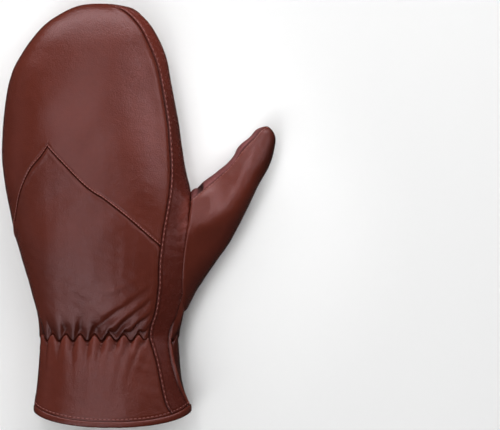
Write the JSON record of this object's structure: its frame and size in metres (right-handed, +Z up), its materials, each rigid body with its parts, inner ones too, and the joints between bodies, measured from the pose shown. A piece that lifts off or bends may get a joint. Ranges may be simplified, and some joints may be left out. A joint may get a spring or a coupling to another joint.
{
  "type": "leather mitten",
  "caption": "Left-hand leather mitten with a pointed seam across the back, a set-in thumb, an elastic-gathered wrist and a flared cuff with a rolled hem.",
  "frame": {"origin": "on the flat of the palm that the mitten rests on, half way up the mitten", "axes": "+X to the thumb side, +Y to the fingertips, +Z up through the back of the hand"},
  "size_m": [0.1617, 0.2497, 0.0471],
  "materials": {
    "back": "smooth satin wine-brown leather",
    "palm": "smooth satin wine-brown leather",
    "strip": "smooth satin wine-brown leather",
    "thumb": "smooth satin wine-brown leather",
    "thumb_grain": "coarser grained wine-brown leather",
    "hem": "smooth satin wine-brown leather, rolled"
  },
  "bodies": {
    "root": {"lower_back": "back", "upper_back": "back", "side_strip": "strip", "palm": "palm", "hem": "hem", "thumb_cover": "thumb", "thumb_strip": "thumb_grain"}
  },
  "joints": []
}
